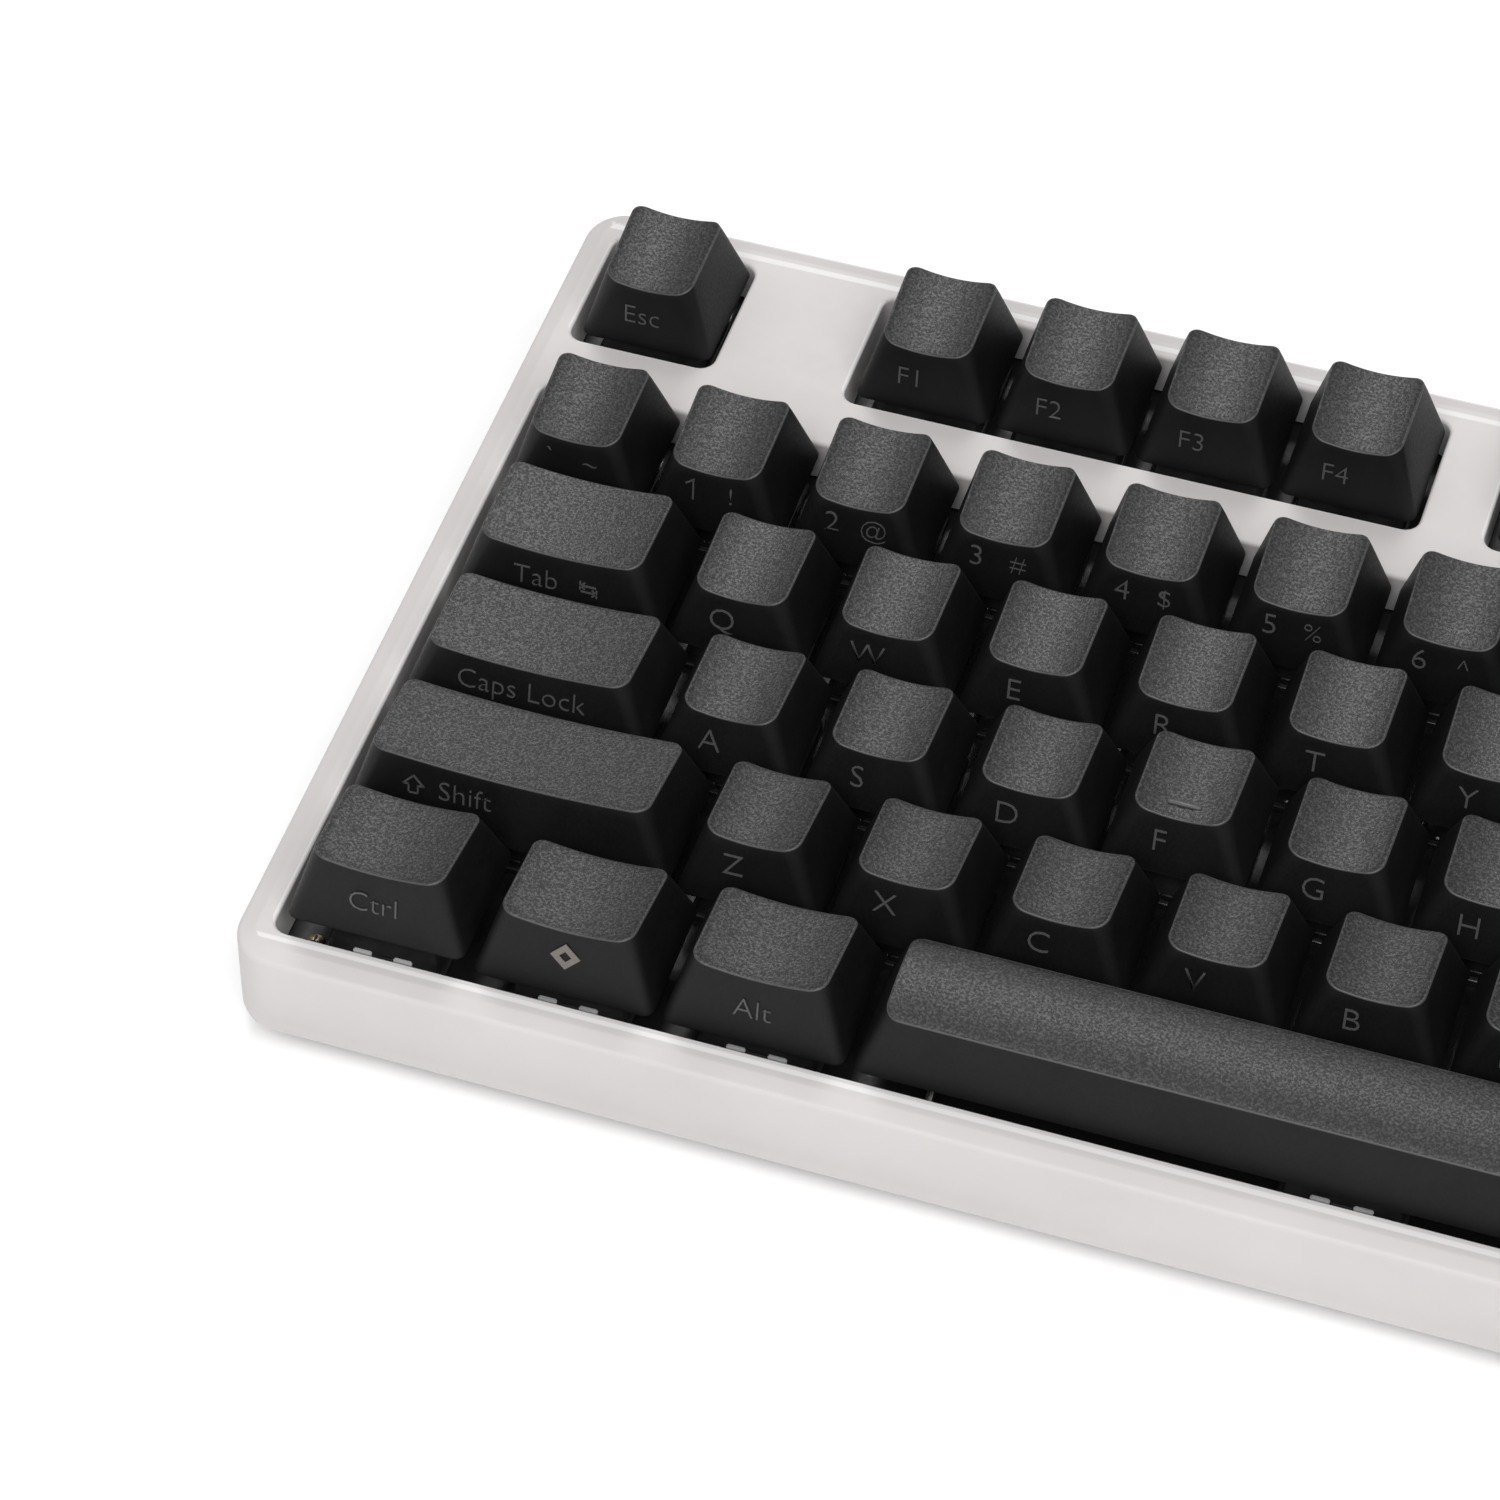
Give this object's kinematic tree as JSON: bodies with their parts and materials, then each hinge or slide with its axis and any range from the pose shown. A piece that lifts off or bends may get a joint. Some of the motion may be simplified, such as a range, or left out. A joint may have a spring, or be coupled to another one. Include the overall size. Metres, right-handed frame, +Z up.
{
  "type": "mechanical keyboard",
  "caption": "Tenkeyless mechanical keyboard: white case with separate key wells, black sculpted keycaps on sprung switches, stabilised space bar, folding feet, rubber pads and a USB socket.",
  "frame": {"origin": "on the desk, under the middle of the case's outline", "axes": "+X to the typist's right along the rows of keys, +Y away from the typist, +Z up from the desk; the key field slopes up by 4.5 degrees towards +Y"},
  "size_m": [0.359, 0.136, 0.0387],
  "materials": {
    "case": "satin white moulded plastic",
    "keycap": "black moulded plastic, fine grained tops and smoother sides",
    "plate": "black painted steel",
    "switches": "clear and black switch housings on a dark board",
    "socket": "plain steel shell",
    "wire": "bright drawn wire",
    "pad": "black rubber"
  },
  "bodies": {
    "case": {"top_case": "case", "bottom_case": "case", "switch_plate": "plate", "pcb_with_switches": "switches", "usb_socket": "socket", "front_pad_left": "pad", "front_pad_right": "pad", "rear_pad_left": "pad", "rear_pad_right": "pad"},
    "key_esc": {"key_esc": "keycap"},
    "key_f1": {"key_f1": "keycap"},
    "key_f2": {"key_f2": "keycap"},
    "key_f3": {"key_f3": "keycap"},
    "key_f4": {"key_f4": "keycap"},
    "key_grave": {"key_grave": "keycap"},
    "key_1": {"key_1": "keycap"},
    "key_2": {"key_2": "keycap"},
    "key_3": {"key_3": "keycap"},
    "key_4": {"key_4": "keycap"},
    "key_5": {"key_5": "keycap"},
    "key_6": {"key_6": "keycap"},
    "key_tab": {"key_tab": "keycap"},
    "key_q": {"key_q": "keycap"},
    "key_w": {"key_w": "keycap"},
    "key_e": {"key_e": "keycap"},
    "key_r": {"key_r": "keycap"},
    "key_t": {"key_t": "keycap"},
    "key_y": {"key_y": "keycap"},
    "key_caps_lock": {"key_caps_lock": "keycap"},
    "key_a": {"key_a": "keycap"},
    "key_s": {"key_s": "keycap"},
    "key_d": {"key_d": "keycap"},
    "key_f": {"key_f": "keycap"},
    "key_g": {"key_g": "keycap"},
    "key_h": {"key_h": "keycap"},
    "key_enter": {"key_enter": "keycap"},
    "key_shift_left": {"key_shift_left": "keycap"},
    "key_z": {"key_z": "keycap"},
    "key_x": {"key_x": "keycap"},
    "key_c": {"key_c": "keycap"},
    "key_v": {"key_v": "keycap"},
    "key_b": {"key_b": "keycap"},
    "key_shift_right": {"key_shift_right": "keycap"},
    "key_ctrl_left": {"key_ctrl_left": "keycap"},
    "key_logo_left": {"key_logo_left": "keycap"},
    "key_alt_left": {"key_alt_left": "keycap"},
    "key_space": {"key_space": "keycap"},
    "keys_f5_to_f8": {"keys_f5_to_f8": "keycap"},
    "keys_f9_to_f12": {"keys_f9_to_f12": "keycap"},
    "keys_print_to_pause": {"keys_print_to_pause": "keycap"},
    "keys_7_to_backspace": {"keys_7_to_backspace": "keycap"},
    "keys_u_to_backslash": {"keys_u_to_backslash": "keycap"},
    "keys_j_to_quote": {"keys_j_to_quote": "keycap"},
    "keys_n_to_slash": {"keys_n_to_slash": "keycap"},
    "keys_right_modifiers": {"keys_right_modifiers": "keycap"},
    "keys_navigation": {"keys_navigation": "keycap"},
    "keys_arrows": {"keys_arrows": "keycap"},
    "flip_foot_left": {"flip_foot_left": "case"},
    "flip_foot_right": {"flip_foot_right": "case"},
    "space_stabiliser_wire": {"space_stabiliser_wire": "wire"}
  },
  "joints": [
    {"name": "key_esc_press", "type": "slide", "parent": "case", "child": "key_esc", "axis": [0, 0.0785, -0.9969], "range_m": [0, 0.004], "stiffness_N_per_m": 75, "springref_m": -0.004},
    {"name": "key_f1_press", "type": "slide", "parent": "case", "child": "key_f1", "axis": [0, 0.0785, -0.9969], "range_m": [0, 0.004], "stiffness_N_per_m": 75, "springref_m": -0.004},
    {"name": "key_f2_press", "type": "slide", "parent": "case", "child": "key_f2", "axis": [0, 0.0785, -0.9969], "range_m": [0, 0.004], "stiffness_N_per_m": 75, "springref_m": -0.004},
    {"name": "key_f3_press", "type": "slide", "parent": "case", "child": "key_f3", "axis": [0, 0.0785, -0.9969], "range_m": [0, 0.004], "stiffness_N_per_m": 75, "springref_m": -0.004},
    {"name": "key_f4_press", "type": "slide", "parent": "case", "child": "key_f4", "axis": [0, 0.0785, -0.9969], "range_m": [0, 0.004], "stiffness_N_per_m": 75, "springref_m": -0.004},
    {"name": "key_grave_press", "type": "slide", "parent": "case", "child": "key_grave", "axis": [0, 0.0785, -0.9969], "range_m": [0, 0.004], "stiffness_N_per_m": 75, "springref_m": -0.004},
    {"name": "key_1_press", "type": "slide", "parent": "case", "child": "key_1", "axis": [0, 0.0785, -0.9969], "range_m": [0, 0.004], "stiffness_N_per_m": 75, "springref_m": -0.004},
    {"name": "key_2_press", "type": "slide", "parent": "case", "child": "key_2", "axis": [0, 0.0785, -0.9969], "range_m": [0, 0.004], "stiffness_N_per_m": 75, "springref_m": -0.004},
    {"name": "key_3_press", "type": "slide", "parent": "case", "child": "key_3", "axis": [0, 0.0785, -0.9969], "range_m": [0, 0.004], "stiffness_N_per_m": 75, "springref_m": -0.004},
    {"name": "key_4_press", "type": "slide", "parent": "case", "child": "key_4", "axis": [0, 0.0785, -0.9969], "range_m": [0, 0.004], "stiffness_N_per_m": 75, "springref_m": -0.004},
    {"name": "key_5_press", "type": "slide", "parent": "case", "child": "key_5", "axis": [0, 0.0785, -0.9969], "range_m": [0, 0.004], "stiffness_N_per_m": 75, "springref_m": -0.004},
    {"name": "key_6_press", "type": "slide", "parent": "case", "child": "key_6", "axis": [0, 0.0785, -0.9969], "range_m": [0, 0.004], "stiffness_N_per_m": 75, "springref_m": -0.004},
    {"name": "key_tab_press", "type": "slide", "parent": "case", "child": "key_tab", "axis": [0, 0.0785, -0.9969], "range_m": [0, 0.004], "stiffness_N_per_m": 75, "springref_m": -0.004},
    {"name": "key_q_press", "type": "slide", "parent": "case", "child": "key_q", "axis": [0, 0.0785, -0.9969], "range_m": [0, 0.004], "stiffness_N_per_m": 75, "springref_m": -0.004},
    {"name": "key_w_press", "type": "slide", "parent": "case", "child": "key_w", "axis": [0, 0.0785, -0.9969], "range_m": [0, 0.004], "stiffness_N_per_m": 75, "springref_m": -0.004},
    {"name": "key_e_press", "type": "slide", "parent": "case", "child": "key_e", "axis": [0, 0.0785, -0.9969], "range_m": [0, 0.004], "stiffness_N_per_m": 75, "springref_m": -0.004},
    {"name": "key_r_press", "type": "slide", "parent": "case", "child": "key_r", "axis": [0, 0.0785, -0.9969], "range_m": [0, 0.004], "stiffness_N_per_m": 75, "springref_m": -0.004},
    {"name": "key_t_press", "type": "slide", "parent": "case", "child": "key_t", "axis": [0, 0.0785, -0.9969], "range_m": [0, 0.004], "stiffness_N_per_m": 75, "springref_m": -0.004},
    {"name": "key_y_press", "type": "slide", "parent": "case", "child": "key_y", "axis": [0, 0.0785, -0.9969], "range_m": [0, 0.004], "stiffness_N_per_m": 75, "springref_m": -0.004},
    {"name": "key_caps_lock_press", "type": "slide", "parent": "case", "child": "key_caps_lock", "axis": [0, 0.0785, -0.9969], "range_m": [0, 0.004], "stiffness_N_per_m": 75, "springref_m": -0.004},
    {"name": "key_a_press", "type": "slide", "parent": "case", "child": "key_a", "axis": [0, 0.0785, -0.9969], "range_m": [0, 0.004], "stiffness_N_per_m": 75, "springref_m": -0.004},
    {"name": "key_s_press", "type": "slide", "parent": "case", "child": "key_s", "axis": [0, 0.0785, -0.9969], "range_m": [0, 0.004], "stiffness_N_per_m": 75, "springref_m": -0.004},
    {"name": "key_d_press", "type": "slide", "parent": "case", "child": "key_d", "axis": [0, 0.0785, -0.9969], "range_m": [0, 0.004], "stiffness_N_per_m": 75, "springref_m": -0.004},
    {"name": "key_f_press", "type": "slide", "parent": "case", "child": "key_f", "axis": [0, 0.0785, -0.9969], "range_m": [0, 0.004], "stiffness_N_per_m": 75, "springref_m": -0.004},
    {"name": "key_g_press", "type": "slide", "parent": "case", "child": "key_g", "axis": [0, 0.0785, -0.9969], "range_m": [0, 0.004], "stiffness_N_per_m": 75, "springref_m": -0.004},
    {"name": "key_h_press", "type": "slide", "parent": "case", "child": "key_h", "axis": [0, 0.0785, -0.9969], "range_m": [0, 0.004], "stiffness_N_per_m": 75, "springref_m": -0.004},
    {"name": "key_enter_press", "type": "slide", "parent": "case", "child": "key_enter", "axis": [0, 0.0785, -0.9969], "range_m": [0, 0.004], "stiffness_N_per_m": 75, "springref_m": -0.004},
    {"name": "key_shift_left_press", "type": "slide", "parent": "case", "child": "key_shift_left", "axis": [0, 0.0785, -0.9969], "range_m": [0, 0.004], "stiffness_N_per_m": 75, "springref_m": -0.004},
    {"name": "key_z_press", "type": "slide", "parent": "case", "child": "key_z", "axis": [0, 0.0785, -0.9969], "range_m": [0, 0.004], "stiffness_N_per_m": 75, "springref_m": -0.004},
    {"name": "key_x_press", "type": "slide", "parent": "case", "child": "key_x", "axis": [0, 0.0785, -0.9969], "range_m": [0, 0.004], "stiffness_N_per_m": 75, "springref_m": -0.004},
    {"name": "key_c_press", "type": "slide", "parent": "case", "child": "key_c", "axis": [0, 0.0785, -0.9969], "range_m": [0, 0.004], "stiffness_N_per_m": 75, "springref_m": -0.004},
    {"name": "key_v_press", "type": "slide", "parent": "case", "child": "key_v", "axis": [0, 0.0785, -0.9969], "range_m": [0, 0.004], "stiffness_N_per_m": 75, "springref_m": -0.004},
    {"name": "key_b_press", "type": "slide", "parent": "case", "child": "key_b", "axis": [0, 0.0785, -0.9969], "range_m": [0, 0.004], "stiffness_N_per_m": 75, "springref_m": -0.004},
    {"name": "key_shift_right_press", "type": "slide", "parent": "case", "child": "key_shift_right", "axis": [0, 0.0785, -0.9969], "range_m": [0, 0.004], "stiffness_N_per_m": 75, "springref_m": -0.004},
    {"name": "key_ctrl_left_press", "type": "slide", "parent": "case", "child": "key_ctrl_left", "axis": [0, 0.0785, -0.9969], "range_m": [0, 0.004], "stiffness_N_per_m": 75, "springref_m": -0.004},
    {"name": "key_logo_left_press", "type": "slide", "parent": "case", "child": "key_logo_left", "axis": [0, 0.0785, -0.9969], "range_m": [0, 0.004], "stiffness_N_per_m": 75, "springref_m": -0.004},
    {"name": "key_alt_left_press", "type": "slide", "parent": "case", "child": "key_alt_left", "axis": [0, 0.0785, -0.9969], "range_m": [0, 0.004], "stiffness_N_per_m": 75, "springref_m": -0.004},
    {"name": "key_space_press", "type": "slide", "parent": "case", "child": "key_space", "axis": [0, 0.0785, -0.9969], "range_m": [0, 0.004], "stiffness_N_per_m": 75, "springref_m": -0.004},
    {"name": "keys_f5_to_f8_press", "type": "slide", "parent": "case", "child": "keys_f5_to_f8", "axis": [0, 0.0785, -0.9969], "range_m": [0, 0.004], "stiffness_N_per_m": 300, "springref_m": -0.004},
    {"name": "keys_f9_to_f12_press", "type": "slide", "parent": "case", "child": "keys_f9_to_f12", "axis": [0, 0.0785, -0.9969], "range_m": [0, 0.004], "stiffness_N_per_m": 300, "springref_m": -0.004},
    {"name": "keys_print_to_pause_press", "type": "slide", "parent": "case", "child": "keys_print_to_pause", "axis": [0, 0.0785, -0.9969], "range_m": [0, 0.004], "stiffness_N_per_m": 225, "springref_m": -0.004},
    {"name": "keys_7_to_backspace_press", "type": "slide", "parent": "case", "child": "keys_7_to_backspace", "axis": [0, 0.0785, -0.9969], "range_m": [0, 0.004], "stiffness_N_per_m": 525, "springref_m": -0.004},
    {"name": "keys_u_to_backslash_press", "type": "slide", "parent": "case", "child": "keys_u_to_backslash", "axis": [0, 0.0785, -0.9969], "range_m": [0, 0.004], "stiffness_N_per_m": 525, "springref_m": -0.004},
    {"name": "keys_j_to_quote_press", "type": "slide", "parent": "case", "child": "keys_j_to_quote", "axis": [0, 0.0785, -0.9969], "range_m": [0, 0.004], "stiffness_N_per_m": 375, "springref_m": -0.004},
    {"name": "keys_n_to_slash_press", "type": "slide", "parent": "case", "child": "keys_n_to_slash", "axis": [0, 0.0785, -0.9969], "range_m": [0, 0.004], "stiffness_N_per_m": 375, "springref_m": -0.004},
    {"name": "keys_right_modifiers_press", "type": "slide", "parent": "case", "child": "keys_right_modifiers", "axis": [0, 0.0785, -0.9969], "range_m": [0, 0.004], "stiffness_N_per_m": 300, "springref_m": -0.004},
    {"name": "keys_navigation_press", "type": "slide", "parent": "case", "child": "keys_navigation", "axis": [0, 0.0785, -0.9969], "range_m": [0, 0.004], "stiffness_N_per_m": 450, "springref_m": -0.004},
    {"name": "keys_arrows_press", "type": "slide", "parent": "case", "child": "keys_arrows", "axis": [0, 0.0785, -0.9969], "range_m": [0, 0.004], "stiffness_N_per_m": 300, "springref_m": -0.004},
    {"name": "flip_foot_left_fold", "type": "hinge", "parent": "case", "child": "flip_foot_left", "pos_m": [-0.14753, 0.05569, 0.0033], "axis": [1, 0, 0], "range_deg": [0, 85]},
    {"name": "flip_foot_right_fold", "type": "hinge", "parent": "case", "child": "flip_foot_right", "pos_m": [0.14753, 0.05569, 0.0033], "axis": [1, 0, 0], "range_deg": [0, 85]},
    {"name": "space_wire_turn", "type": "hinge", "parent": "case", "child": "space_stabiliser_wire", "pos_m": [-0.04286, -0.06086, 0.01293], "axis": [-1, 0, 0], "range_deg": [0, 22.9]}
  ],
  "couplings": [
    {"joint": "space_wire_turn", "follows": "key_space_press", "rad_per_m": 99.63}
  ]
}
